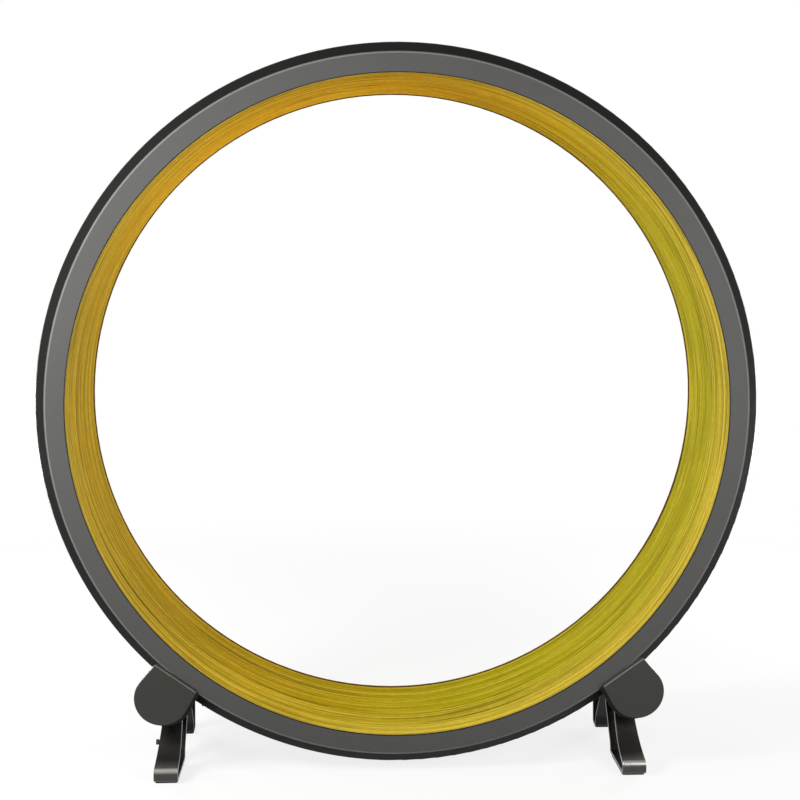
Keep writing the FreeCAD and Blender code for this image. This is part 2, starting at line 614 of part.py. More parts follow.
def foot_loop(lower_corners):
    """Right-hand foot: flat bar bent into a closed loop, wider towards the floor."""
    outer = loop_outline(BAR_IN_X, lower_corners)
    inner = outer.makeOffset2D(-BAR_THICKNESS)
    width = Vector(BAR_WIDTH_TOE, 0, 0)
    loop = outer.extrude(width).cut(inner.extrude(width))
    outer_top = BAR_IN_X + BAR_WIDTH_TOP
    outer_toe = BAR_IN_X + BAR_WIDTH_TOE
    taper = Part.Face(Part.makePolygon([
        Vector(outer_top, -TOE_Y, LOOP_TOP), Vector(outer_toe, -TOE_Y, TOE_HEIGHT),
        Vector(outer_toe, -TOE_Y, LOOP_TOP), Vector(outer_top, -TOE_Y, LOOP_TOP)]))
    loop = loop.cut(taper.extrude(Vector(0, TOE_Y, 0)))
    side_edges = [edge for edge in loop.Edges if edge.BoundBox.XLength < BAR_EDGE_RADIUS
                  and edge.BoundBox.XMin < BAR_IN_X + BAR_EDGE_RADIUS]
    loop = loop.makeFillet(BAR_EDGE_RADIUS, side_edges)
    holes = [rod(Vector(x, y, LOOP_TOP - BAR_THICKNESS), AXIS_UP, BOLT_RADIUS + BOLT_HOLE_GAP,
                 BAR_THICKNESS) for x, y in foot_bolt_places()]
    return loop.cut(group(holes))


def foot_pad(y_start, y_end):
    """Rubber pad under the flat part of a right-hand loop's floor run."""
    x_start = BAR_IN_X + PAD_MARGIN
    x_end = BAR_IN_X + BAR_WIDTH_TOE - PAD_MARGIN
    corners = ((x_start, y_start), (x_end, y_start), (x_end, y_end), (x_start, y_end))
    outline = rounded_face([(Vector(x, y, 0), PAD_CORNER_RADIUS) for x, y in corners])
    return outline.extrude(Vector(0, 0, PAD_THICKNESS))


def tie_bar():
    """Flat bar behind the wheel that joins the tails of the two rear ears."""
    corners = [Vector(x, EAR_OUT_Y, z) for x, z in (
        (-TIE_END_X, TIE_LOW), (TIE_END_X, TIE_LOW),
        (TIE_END_X, TIE_LOW + TIE_HEIGHT), (-TIE_END_X, TIE_LOW + TIE_HEIGHT))]
    outline = rounded_face([(corner, TIE_CORNER_RADIUS) for corner in corners])
    hole = BOLT_RADIUS + BOLT_HOLE_GAP
    holes = [rod(Vector(x, EAR_OUT_Y, z), AXIS_Y, hole, TIE_THICKNESS) for x, z in tie_bolt_places()]
    return outline.extrude(Vector(0, TIE_THICKNESS, 0)).cut(group(on_both_sides(holes)))


def build_plates():
    """Carriages, cheek caps, foot loops, pads and the tie bar."""
    right_carriage = carriage()
    right_cheek = cheek_cap()
    loops = {"front": foot_loop(front_loop_corners()), "rear": foot_loop(rear_loop_corners())}
    pads = {
        "front": foot_pad(-TOE_Y + TOE_FLOOR_RADIUS, LOOP_HEEL_INSET - HALF_DEPTH - LOOP_HEEL_RADIUS),
        "rear": foot_pad(REAR_SOLE_START - HALF_DEPTH + LOOP_HEEL_RADIUS,
                         REAR_SOLE_END - HALF_DEPTH - LOOP_HEEL_RADIUS),
    }
    for side_name, side in SIDES:
        save("roller_carriage_" + side_name, mirrored(right_carriage, side, -1))
        for end_name, end in ENDS:
            label = side_name + "_" + end_name
            save("cheek_cap_" + label, mirrored(right_cheek, side, end))
            loop = mirrored(loops[end_name], side, end)
            if (side_name, end_name) == ("left", "front"):
                loop = loop.cut(edge_screw())
            save("foot_loop_" + label, loop)
            save("foot_pad_" + label, mirrored(pads[end_name], side, end))
    save("rear_tie_bar", tie_bar())


# ---- Fasteners of the stand ---------------------------------------------------------
def hex_bolt(start, direction, grip):
    """Bolt whose head sits behind `start`, through `grip` of metal and its nut."""
    head = hexagon(start, direction * -1, BOLT_HEAD_RADIUS, BOLT_HEAD_HEIGHT)
    return head.fuse(rod(start, direction, BOLT_RADIUS, grip + NUT_HEIGHT + BOLT_TIP)).removeSplitter()


def hex_nut(start, direction):
    """Nut that sits on `start`."""
    nut = hexagon(start, direction, BOLT_HEAD_RADIUS, NUT_HEIGHT)
    return nut.cut(rod(start, direction, BOLT_RADIUS, NUT_HEIGHT))


def peg_place():
    """Where the small screw enters the outer edge of the left front loop's shin."""
    share = (PEG_HEIGHT - TOE_HEIGHT) / (LOOP_TOP - TOE_HEIGHT)
    edge_x = BAR_IN_X + BAR_WIDTH_TOE + share * (BAR_WIDTH_TOP - BAR_WIDTH_TOE)
    level = Part.LineSegment(Vector(0, -TOE_Y, PEG_HEIGHT), Vector(0, 0, PEG_HEIGHT)).toShape()
    shin_y = loop_outline(0, front_loop_corners()).common(level).BoundBox.YMin
    return Vector(-edge_x, shin_y + BAR_THICKNESS * PEG_DEPTH_SHARE, PEG_HEIGHT)


def edge_screw():
    """Small screw in the bar's edge, with a neck under its head."""
    place = peg_place()
    shank = rod(place, AXIS_X, PEG_SHANK_RADIUS, PEG_SHANK_LENGTH)
    neck = rod(place, AXIS_X * -1, PEG_NECK_RADIUS, PEG_NECK_LENGTH)
    head = rod(place - AXIS_X * PEG_NECK_LENGTH, AXIS_X * -1, PEG_HEAD_RADIUS, PEG_HEAD_HEIGHT)
    return shank.fuse([neck, head]).removeSplitter()


def build_fasteners():
    """Bolts, nuts, screws and axle clips of the stand."""
    grip = BAR_THICKNESS + CARRIAGE_THICKNESS
    foot_bolts = [hex_bolt(Vector(x, y, LOOP_TOP - BAR_THICKNESS), AXIS_UP, grip)
                  for x, y in foot_bolt_places()]
    foot_nuts = [hex_nut(Vector(x, y, CARRIAGE_TOP), AXIS_UP) for x, y in foot_bolt_places()]
    save("foot_bolts", group(on_both_sides(foot_bolts)))
    save("foot_nuts", group(on_both_sides(foot_nuts)))

    tie_grip = TIE_THICKNESS + EAR_THICKNESS
    tie_bolts = [hex_bolt(Vector(x, EAR_OUT_Y + TIE_THICKNESS, z), AXIS_Y * -1, tie_grip)
                 for x, z in tie_bolt_places()]
    tie_nuts = [hex_nut(Vector(x, EAR_IN_Y, z), AXIS_Y * -1) for x, z in tie_bolt_places()]
    save("tie_bolts", group(on_both_sides(tie_bolts)))
    save("tie_nuts", group(on_both_sides(tie_nuts)))

    screws = []
    for along, across in CHEEK_SCREW_PLACES:
        seat = cheek_point(along, across, -EAR_IN_Y)
        head = rod(seat, AXIS_Y, CHEEK_SCREW_HEAD_RADIUS, CHEEK_SCREW_HEAD_HEIGHT)
        shank = rod(seat, AXIS_Y * -1, CHEEK_SCREW_RADIUS, CHEEK_SCREW_LENGTH)
        screws.append(head.fuse(shank).removeSplitter())
    save("cheek_screws", group(on_all_corners(screws)))

    clip_place = Vector(AXLE_X, 0, AXLE_Z)
    clip = tube(clip_place, AXLE_RADIUS, AXLE_RADIUS + CLIP_WIDTH, -EAR_OUT_Y - CLIP_THICKNESS, -EAR_OUT_Y)
    save("axle_clips", group(on_all_corners([clip])))
    save("edge_screw", edge_screw())


os.makedirs("parts", exist_ok=True)
build_wheel()
build_rollers()
build_plates()
build_fasteners()
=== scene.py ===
"""Looks of a cat exercise wheel, built around its fixed frame of solid parts."""
import logging
import math
from dataclasses import dataclass
from enum import Enum
from typing import Dict, Iterable, List, Mapping, Sequence, Tuple, Union

import bpy
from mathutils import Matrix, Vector


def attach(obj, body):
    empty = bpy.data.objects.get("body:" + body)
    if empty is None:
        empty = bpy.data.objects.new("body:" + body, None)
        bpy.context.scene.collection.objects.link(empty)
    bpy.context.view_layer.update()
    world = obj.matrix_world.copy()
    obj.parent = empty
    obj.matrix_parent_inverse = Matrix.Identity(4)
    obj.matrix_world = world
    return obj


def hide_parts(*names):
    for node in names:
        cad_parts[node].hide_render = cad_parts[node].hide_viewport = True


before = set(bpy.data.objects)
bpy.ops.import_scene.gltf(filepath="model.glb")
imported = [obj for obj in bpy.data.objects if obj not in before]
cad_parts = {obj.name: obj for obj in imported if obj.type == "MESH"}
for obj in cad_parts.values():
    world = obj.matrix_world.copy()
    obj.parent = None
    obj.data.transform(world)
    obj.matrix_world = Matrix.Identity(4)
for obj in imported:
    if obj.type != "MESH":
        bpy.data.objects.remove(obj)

Number = Union[int, float]
Operand = Union["Sock", int, float]
Colour = Tuple[float, float, float]
Point = Tuple[float, float, float]
Span = Tuple[float, float]

LOG = logging.getLogger("exercise_wheel")
AXIS_HEIGHT = 0.510
MID_DEPTH = 0.009
MAT_WIDTH = 0.2150
MAT_RIBS = 44
SIDES = ("right", "left")
ENDS = ("front", "rear")
CORNERS = tuple(f"{side}_{end}" for side in SIDES for end in ENDS)
PANELS = tuple(f"drum_panel_{number}" for number in range(1, 7))
WHITE: Colour = (1.0, 1.0, 1.0)

# Places of sockets whose names stand more than once on their node.
MIX_FACTOR, MIX_FIRST, MIX_SECOND, MIX_RESULT = 0, 6, 7, 2
RANDOM_LEAST, RANDOM_MOST, RANDOM_RESULT = 2, 3, 1


# ---- Node graphs -------------------------------------------------------------------
class Sock:
    """An output socket of a node that takes part in plain arithmetic."""

    def __init__(self, graph: "Graph", out: bpy.types.NodeSocket) -> None:
        """Keep the graph and the socket."""
        self.graph = graph
        self.out = out

    def math(self, operation: str, other: Operand = 0.0, swapped: bool = False) -> "Sock":
        """Add a Math node.

        Args:
            operation: the Math node's operation.
            other: the second operand.
            swapped: puts the other operand first.

        Returns:
            The node's output.
        """
        first, second = (other, self) if swapped else (self, other)
        return self.graph.node("ShaderNodeMath", {"operation": operation}, {0: first, 1: second})

    def __add__(self, other: Operand) -> "Sock":
        """Sum."""
        return self.math("ADD", other)

    def __radd__(self, other: Number) -> "Sock":
        """Sum with a number first."""
        return self.math("ADD", other, swapped=True)

    def __sub__(self, other: Operand) -> "Sock":
        """Difference."""
        return self.math("SUBTRACT", other)

    def __rsub__(self, other: Number) -> "Sock":
        """Difference with a number first."""
        return self.math("SUBTRACT", other, swapped=True)

    def __mul__(self, other: Operand) -> "Sock":
        """Product."""
        return self.math("MULTIPLY", other)

    def __rmul__(self, other: Number) -> "Sock":
        """Product with a number first."""
        return self.math("MULTIPLY", other, swapped=True)

    def __truediv__(self, other: Operand) -> "Sock":
        """Quotient."""
        return self.math("DIVIDE", other)


Value = Union[Sock, Number, Sequence[Number]]


class Graph:
    """Adds nodes to a shader tree or to a geometry tree."""

    def __init__(self, tree: bpy.types.NodeTree) -> None:
        """Keep the tree."""
        self.tree = tree

    def node(self, kind: str, settings: Mapping[str, object],
             inputs: Mapping[Union[int, str], object], output: Union[int, str] = 0) -> Sock:
        """Add any node.

        Args:
            kind: the node's type.
            settings: its attributes, set before its sockets.
            inputs: values or links of its sockets, by name or place.
            output: the socket to return.

        Returns:
            The chosen output.
        """
        made = self.tree.nodes.new(kind)
        for key, value in settings.items():
            setattr(made, key, value)
        for key, value in inputs.items():
            self.feed(made.inputs[key], value)
        return Sock(self, made.outputs[output])

    def feed(self, socket: bpy.types.NodeSocket, value: object) -> None:
        """Link a socket to another one, or set its value.

        Args:
            socket: the input socket.
            value: a link or a value; a colour may leave out its alpha.
        """
        if isinstance(value, Sock):
            self.tree.links.new(value.out, socket)
        elif socket.type == "RGBA" and len(value) == 3:
            socket.default_value = (*value, 1.0)
        else:
            socket.default_value = value


@dataclass(frozen=True)
class Grain:
    """A noise: its scale, which may differ along the three axes, its detail and roughness."""

    scale: Union[float, Point]
    detail: float = 3.0
    roughness: float = 0.5


class ShaderGraph(Graph):
    """Adds the nodes that the finishes share."""

    def place(self) -> Sock:
        """Point of the surface in the object's own coordinates."""
        return self.node("ShaderNodeTexCoord", {}, {}, "Object")

    def axis(self, vector: Sock, name: str) -> Sock:
        """One coordinate of a vector."""
        return self.node("ShaderNodeSeparateXYZ", {}, {0: vector}, name)

    def stretched(self, vector: Sock, scale: Point) -> Sock:
        """The vector with each coordinate multiplied."""
        return self.node("ShaderNodeMapping", {}, {"Vector": vector, "Scale": scale})

    def noise(self, vector: Sock, grain: Grain) -> Sock:
        """Add grey noise from 0 to 1.

        Args:
            vector: where the noise is read.
            grain: its scale, detail and roughness.

        Returns:
            The noise.
        """
        scale = grain.scale
        if isinstance(scale, tuple):
            vector, scale = self.stretched(vector, scale), 1.0
        return self.node("ShaderNodeTexNoise", {}, {
            "Vector": vector, "Scale": scale, "Detail": grain.detail,
            "Roughness": grain.roughness})

    def blend(self, factor: Value, first: Value, second: Value) -> Sock:
        """Colour between two colours."""
        return self.node("ShaderNodeMix", {"data_type": "RGBA"}, {
            MIX_FACTOR: factor, MIX_FIRST: first, MIX_SECOND: second}, MIX_RESULT)

    def step(self, value: Sock, low: float, high: float) -> Sock:
        """Smooth step from 0 at low to 1 at high."""
        return self.node("ShaderNodeMapRange", {"interpolation_type": "SMOOTHSTEP"},
                         {"Value": value, "From Min": low, "From Max": high})

    def near(self, value: Sock, middle: float, inner: float, outer: float) -> Sock:
        """1 within `inner` of the middle value, falling to 0 at `outer`."""
        return 1.0 - self.step((value - middle).math("ABSOLUTE"), inner, outer)

    def swing(self, value: Sock, change: Span) -> Sock:
        """The value times the second number of the pair, plus the first."""
        return value * change[1] + change[0]

    def weighted(self, first: Sock, second: Sock, weights: Span) -> Sock:
        """Sum of two values, each times its weight."""
        return first * weights[0] + second * weights[1]

    def scaled(self, colour: Value, factor: Sock) -> Sock:
        """The colour times a factor."""
        return self.node("ShaderNodeVectorMath", {"operation": "SCALE"},
                         {0: colour, "Scale": factor})

    def bump(self, height: Sock, depth: float) -> Sock:
        """Normal of a rough surface whose relief is `depth` metres."""
        return self.node("ShaderNodeBump", {}, {
            "Strength": 1.0, "Distance": depth, "Height": height})

    def from_axis(self) -> Sock:
        """Measure from the wheel's axis.

        Returns:
            The distance of the surface from it.
        """
        relative = self.node("ShaderNodeVectorMath", {"operation": "SUBTRACT"},
                             {0: self.place(), 1: (0.0, 0.0, AXIS_HEIGHT)})
        flat = self.stretched(relative, (1.0, 0.0, 1.0))
        return self.node("ShaderNodeVectorMath", {"operation": "LENGTH"}, {0: flat}, "Value")

    def from_mid_depth(self) -> Sock:
        """Distance behind the wheel's middle plane, negative in front of it."""
        return self.axis(self.place(), "Y") - MID_DEPTH

    def above_axis(self) -> Sock:
        """Height above the wheel's axis."""
        return self.axis(self.place(), "Z") - AXIS_HEIGHT

    def seen(self) -> Sock:
        """1 on rays from the camera, from glossy and from clear surfaces, else 0."""
        rays = [self.node("ShaderNodeLightPath", {}, {}, f"Is {kind} Ray")
                for kind in ("Camera", "Glossy", "Transmission")]
        return (rays[0] + rays[1] + rays[2]).math("MINIMUM", 1.0)


# ---- Finishes ----------------------------------------------------------------------
@dataclass(frozen=True)
class Finish:
    """What every finish shares: its name and the shader's constant inputs.

    In the finishes, a span holds where a step begins and ends, a swing a base and a gain,
    and a share how strongly a colour covers what lies under it.
    """

    name: str
    roughness: float = 0.5
    metallic: float = 0.0
    specular: float = 0.5

    def material(self) -> bpy.types.Material:
        """Build the material.

        Returns:
            The new material.
        """
        made = bpy.data.materials.new(self.name)
        made.use_nodes = True
        graph = ShaderGraph(made.node_tree)
        shader = made.node_tree.nodes["Principled BSDF"]
        shader.inputs["Roughness"].default_value = self.roughness
        shader.inputs["Metallic"].default_value = self.metallic
        shader.inputs["Specular IOR Level"].default_value = self.specular
        for socket, value in self.surface(graph).items():
            graph.feed(shader.inputs[socket], value)
        return made

    def surface(self, graph: ShaderGraph) -> Dict[str, Value]:
        """Make what changes over the surface.

        Args:
            graph: the material's graph.

        Returns:
            Values or links for the shader's sockets, by name.
        """
        raise NotImplementedError


@dataclass(frozen=True)
class HoopPaint(Finish):
    """Satin powder coat of the hoops: lighter on the flat face, with painted shade darkening the
    chamfer and band.
    """

    face: Colour = (0.118, 0.117, 0.114)
    # Painted shade: the chamfer and band are coloured far darker than the flat face.
    band: Colour = (0.009, 0.010, 0.008)
    # Painted highlight along the outer edge of the flat face.
    edge: Colour = (0.260, 0.255, 0.248)
    lip: Colour = (0.020, 0.018, 0.014)
    face_from: float = 0.1089
    face_radius: float = 0.4832
    lip_radius: float = 0.4576
    tone_fade: float = 0.0006
    edge_half: float = 0.0012
    edge_core: float = 0.4
    edge_share: float = 0.8
    edge_polish: float = 0.08
    mottle: Grain = Grain(7.0, 5.0)
    mottle_swing: Span = (0.92, 0.16)
    fleck: Grain = Grain(260.0, 2.0)
    fleck_swing: Span = (0.95, 0.10)
    sheen: Grain = Grain(30.0, 4.0)
    sheen_swing: Span = (0.36, 0.14)
    peel: Grain = Grain(900.0, 2.0)
    peel_depth: float = 0.00006

    def surface(self, graph: ShaderGraph) -> Dict[str, Value]:
        """Make the face's tone, painted shade on chamfer and band, a painted highlight on the
        edge between them, the inner lip and an orange peel.

        Args:
            graph: the material's graph.

        Returns:
            Values or links for the shader's sockets, by name.
        """
        place = graph.place()
        depth = graph.from_mid_depth().math("ABSOLUTE")
        radius = graph.from_axis()
        on_face = graph.step(depth, self.face_from, self.face_from + self.tone_fade)
        # A thin ring at the face's outer edge gets a painted highlight.
        on_edge_highlight = on_face * graph.near(radius, self.face_radius,
                                       self.edge_half * self.edge_core, self.edge_half)
        on_lip = 1.0 - graph.step(radius, self.lip_radius, self.lip_radius + self.tone_fade)
        # Painted shade: the chamfer and band take the dark colour.
        tone = graph.blend(on_face, self.band, self.face)
        tone = graph.blend(on_edge_highlight * self.edge_share, tone, self.edge)
        tone = graph.blend(on_lip, tone, self.lip)
        mottle = graph.swing(graph.noise(place, self.mottle), self.mottle_swing)
        fleck = graph.swing(graph.noise(place, self.fleck), self.fleck_swing)
        rough = graph.swing(graph.noise(place, self.sheen), self.sheen_swing)
        return {"Base Color": graph.scaled(tone, mottle * fleck),
                "Roughness": rough - on_edge_highlight * self.edge_polish,
                "Normal": graph.bump(graph.noise(place, self.peel), self.peel_depth)}


@dataclass(frozen=True)
class RibbedFibre(Finish):
    """Yellow cord mat: every rib has its own shade, and streaks run around the wheel."""

    width: float = MAT_WIDTH
    ribs: int = MAT_RIBS
    golden: Colour = (0.47, 0.285, 0.003)
    amber: Colour = (0.86, 0.450, 0.005)
    lime: Colour = (0.33, 0.290, 0.002)
    tan: Colour = (0.47, 0.335, 0.028)
    pale: Colour = (0.68, 0.520, 0.060)
    deep: Colour = (0.125, 0.105, 0.002)
    streak: Grain = Grain((2.2, 260.0, 2.2), 4.0, 0.6)
    thread: Grain = Grain((9.0, 900.0, 9.0), 3.0, 0.6)
    fibre: Grain = Grain((120.0, 700.0, 120.0), 4.0, 0.65)
    lime_slope: Span = (0.9, -0.35)
    lime_span: Span = (-0.18, 0.36)
    lime_stray: float = 0.25
    amber_span: Span = (0.10, 0.45)
    tan_span: Span = (0.10, 0.50)
    tan_stray: float = 0.6
    tan_swing: Span = (0.15, 0.55)
    light_weights: Span = (0.45, 0.9)
    light_span: Span = (0.60, 0.94)
    light_swing: Span = (0.35, 0.35)
    dark_weights: Span = (0.75, 0.5)
    dark_span: Span = (0.36, 0.54)
    dark_share: float = 0.9
    thread_span: Span = (0.56, 0.66)
    thread_share: float = 0.45
    shade_swing: Span = (0.60, 0.8)
    rough_swing: Span = (0.62, 0.2)
    relief_weights: Span = (0.6, 0.4)
    relief_depth: float = 0.0006

    def surface(self, graph: ShaderGraph) -> Dict[str, Value]:
        """Make the colour drift, which is partly the mat's tint and partly painted light, the
        ribs' shades, the streaks and the lay of the fibres.

        Args:
            graph: the material's graph.

        Returns:
            Values or links for the shader's sockets, by name.
        """
        place = graph.place()
        height = graph.above_axis()
        across = graph.from_mid_depth() / self.width + 0.5
        rib = (across * self.ribs).math("FLOOR")
        own = graph.node("ShaderNodeTexWhiteNoise", {"noise_dimensions": "1D"}, {"W": rib})
        streak = graph.noise(place, self.streak)
        thread = graph.noise(place, self.thread)
        fibre = graph.noise(place, self.fibre)
        stray = streak - 0.5
        # The drift to lime towards the right and lower side is partly the mat's tint and partly
        # painted light.
        side = graph.weighted(graph.axis(place, "X"), height, self.lime_slope)
        drift = graph.step(side + stray * self.lime_stray, *self.lime_span)
        front = 1.0 - graph.step(across + stray * self.tan_stray, *self.tan_span)
        light = graph.step(graph.weighted(own, streak, self.light_weights), *self.light_span)
        dark = graph.step(1.0 - graph.weighted(streak, thread, self.dark_weights),
                          *self.dark_span)
        # Amber towards the top: partly the mat's tint, partly painted light.
        tone = graph.blend(graph.step(height, *self.amber_span), self.golden, self.amber)
        tone = graph.blend(drift, tone, self.lime)
        tone = graph.blend(front * graph.swing(drift, self.tan_swing), tone, self.tan)
        tone = graph.blend(light * graph.swing(front, self.light_swing), tone, self.pale)
        tone = graph.blend(dark * self.dark_share, tone, self.deep)
        tone = graph.blend(graph.step(thread, *self.thread_span) * self.thread_share,
                           tone, self.pale)
        relief = graph.weighted(fibre, thread, self.relief_weights)
        return {"Base Color": graph.scaled(tone, graph.swing(fibre, self.shade_swing)),
                "Roughness": graph.swing(thread, self.rough_swing),
                "Normal": graph.bump(relief, self.relief_depth)}


@dataclass(frozen=True)
class PowderCoat(Finish):
    """Dark burnished coat of the stand, rubbed in places, with a painted highlight along the
    toes' bends.
    """

    colour: Colour = (0.062, 0.058, 0.053)
    # Colour of the rubbed patches.
    lighter_tone: Colour = (0.095, 0.090, 0.083)
    # Painted highlight along the toes' bends.
    bend_highlight: Colour = (0.300, 0.285, 0.272)
    patch: Grain = Grain(26.0, 6.0, 0.6)
    patch_span: Span = (0.52, 0.78)
    patch_share: float = 0.55
    patch_rough: float = 0.12
    bend_height: float = 0.0182
    bend_low: float = 0.0045
    bend_high: float = 0.0110
    toe_from: float = 0.118
    toe_fade: float = 0.008
    peel: Grain = Grain(1100.0, 2.0)
    peel_depth: float = 0.00005

    def surface(self, graph: ShaderGraph) -> Dict[str, Value]:
        """Make the orange peel, the rubbed patches and the painted highlight on the bends of the
        toes.

        Args:
            graph: the material's graph.

        Returns:
            Values or links for the shader's sockets, by name.
        """
        place = graph.place()
        patch = graph.step(graph.noise(place, self.patch), *self.patch_span)
        forward = 0.0 - graph.from_mid_depth()
        on_toe = graph.step(forward, self.toe_from, self.toe_from + self.toe_fade)
        # Painted highlight: a band at the bend height, at the front of the toes, is coloured
        # light.
        height = graph.axis(place, "Z") - self.bend_height
        on_bend_highlight = graph.step(height, -self.bend_low, 0.0)
        on_bend_highlight = on_bend_highlight * (1.0 - graph.step(height, 0.0, self.bend_high))
        tone = graph.blend(patch * self.patch_share, self.colour, self.lighter_tone)
        return {"Base Color": graph.blend(on_bend_highlight * on_toe, tone, self.bend_highlight),
                "Roughness": self.roughness + patch * self.patch_rough,
                "Normal": graph.bump(graph.noise(place, self.peel), self.peel_depth)}


@dataclass(frozen=True)
class MouldedPlastic(Finish):
    """Moulded plastic with an eroded texture."""

    colour: Colour = (0.05, 0.05, 0.046)
    flow: Grain = Grain(12.0, 4.0)
    flow_swing: Span = (0.88, 0.24)
    flow_rough: float = 0.1
    grain: float = 1500.0
    grain_smoothness: float = 0.6
    grain_depth: float = 0.00008

    def tone(self, graph: ShaderGraph) -> Value:
        """Colour before the change of tone; a kind of plastic may vary it."""
        return self.colour

    def surface(self, graph: ShaderGraph) -> Dict[str, Value]:
        """Make a fine grain, and a slow change of tone where the material flowed.

        Args:
            graph: the material's graph.

        Returns:
            Values or links for the shader's sockets, by name.
        """
        place = graph.place()
        flow = graph.noise(place, self.flow)
        grain = graph.node("ShaderNodeTexVoronoi", {"feature": "SMOOTH_F1"}, {
            "Vector": place, "Scale": self.grain, "Smoothness": self.grain_smoothness})
        return {"Base Color": graph.scaled(self.tone(graph), graph.swing(flow, self.flow_swing)),
                "Roughness": self.roughness + flow * self.flow_rough - self.flow_rough / 2,
                "Normal": graph.bump(grain, self.grain_depth)}


@dataclass(frozen=True)
class CapPlastic(MouldedPlastic):
    """Plastic of the caps, with a painted highlight along the straight top edge."""

    # Colour of the painted highlight on the straight top edge.
    lighter_tone: Colour = (0.210, 0.205, 0.190)
    tilt: float = math.radians(35.5)
    edge_reach: float = 0.480
    edge_width: float = 0.0016
    edge_core: float = 0.4
    face_depth: float = 0.1215
    face_fade: float = 0.002
    highlight_grain: Grain = Grain(160.0, 3.0)
    highlight_grain_swing: Span = (0.6, 0.5)

    def tone(self, graph: ShaderGraph) -> Value:
        """Paint a highlight along the straight edge, which lies across the tilted cap.

        Args:
            graph: the material's graph.

        Returns:
            The colour before the change of tone.
        """
        sideways = graph.axis(graph.place(), "X").math("ABSOLUTE")
        along = sideways * math.sin(self.tilt) - graph.above_axis() * math.cos(self.tilt)
        # Painted highlight along the front of the straight top edge, broken up by noise.
        on_edge_highlight = 1.0 - graph.step(along - self.edge_reach, self.edge_width * self.edge_core,
                                   self.edge_width)
        outside = graph.step(graph.from_mid_depth().math("ABSOLUTE"),
                             self.face_depth - self.face_fade, self.face_depth)
        highlight_breakup = graph.swing(graph.noise(graph.place(), self.highlight_grain), self.highlight_grain_swing)
        return graph.blend(on_edge_highlight * outside * highlight_breakup, self.colour, self.lighter_tone)


@dataclass(frozen=True)
class SteelSurface:
    """Colour and roughness of a steel, and how much finer its marks are along the axles."""

    colour: Colour
    roughness: float
    stretch: float = 1.0


class SteelKind(Enum):
    """Surfaces of the steel parts."""

    ZINC = SteelSurface((0.50, 0.50, 0.51), 0.38)
    BLACK = SteelSurface((0.06, 0.055, 0.050), 0.36)
    GROUND = SteelSurface((0.66, 0.66, 0.67), 0.18, 8.0)
    TURNED = SteelSurface((0.55, 0.55, 0.56), 0.27, 8.0)
    BOLT = SteelSurface((0.30, 0.30, 0.31), 0.42)


@dataclass(frozen=True)
class Steel(Finish):
    """Bare or plated steel."""

    metallic: float = 1.0
    kind: SteelKind = SteelKind.ZINC
    marks_scale: float = 150.0
    marks_detail: float = 4.0
    marks_swing: Span = (-0.05, 0.14)
    marks_depth: float = 0.00003
    spangle: Grain = Grain(90.0, 3.0)
    spangle_swing: Span = (0.85, 0.3)

    def surface(self, graph: ShaderGraph) -> Dict[str, Value]:
        """Make fine turning marks and a spangle.

        Args:
            graph: the material's graph.

        Returns:
            Values or links for the shader's sockets, by name.
        """
        steel = self.kind.value
        place = graph.place()
        scale = (self.marks_scale, self.marks_scale * steel.stretch, self.marks_scale)
        marks = graph.noise(place, Grain(scale, self.marks_detail))
        spangle = graph.swing(graph.noise(place, self.spangle), self.spangle_swing)
        return {"Base Color": graph.scaled(steel.colour, spangle),
                "Roughness": steel.roughness + graph.swing(marks, self.marks_swing),
                "Normal": graph.bump(marks, self.marks_depth)}


@dataclass(frozen=True)
class Rubber(Finish):
    """Matt rubber with a dusty bloom."""

    colour: Colour = (0.020, 0.020, 0.021)
    bloom: Colour = (0.060, 0.058, 0.055)
    dust: Grain = Grain(40.0, 5.0, 0.6)
    dust_span: Span = (0.45, 0.80)
    dust_share: float = 0.5
    dust_rough: float = 0.15
    sand: Grain = Grain(1400.0, 3.0)
    sand_depth: float = 0.0001

    def surface(self, graph: ShaderGraph) -> Dict[str, Value]:
        """Make the bloom in patches and a sanded texture.

        Args:
            graph: the material's graph.

        Returns:
            Values or links for the shader's sockets, by name.
        """
        place = graph.place()
        dust = graph.step(graph.noise(place, self.dust), *self.dust_span)
        return {"Base Color": graph.blend(dust * self.dust_share, self.colour, self.bloom),
                "Roughness": self.roughness + dust * self.dust_rough,
                "Normal": graph.bump(graph.noise(place, self.sand), self.sand_depth)}


@dataclass(frozen=True)
class Thread(Finish):
    """Twisted binding thread."""

    colour: Colour = (0.30, 0.135, 0.012)
    shadow: Colour = (0.10, 0.045, 0.008)
    strand: Grain = Grain(420.0, 3.0)
    strand_span: Span = (0.35, 0.65)
    strand_depth: float = 0.0002

    def surface(self, graph: ShaderGraph) -> Dict[str, Value]:
        """Make strands of two browns.

        Args:
            graph: the material's graph.

        Returns:
            Values or links for the shader's sockets, by name.
        """
        strand = graph.noise(graph.place(), self.strand)
        lit = graph.step(strand, *self.strand_span)
        return {"Base Color": graph.blend(lit, self.shadow, self.colour),
                "Normal": graph.bump(strand, self.strand_depth)}


def dress(nodes: Iterable[str], finish: Finish) -> None:
    """Give nodes of the frame their finish.

    Args:
        nodes: names of the frame's nodes.
        finish: what they are made of.
    """
    material = finish.material()
    for name in nodes:
        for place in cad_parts[name].material_slots:
            place.material = material
        LOG.info("%s: %s", name, finish.name)


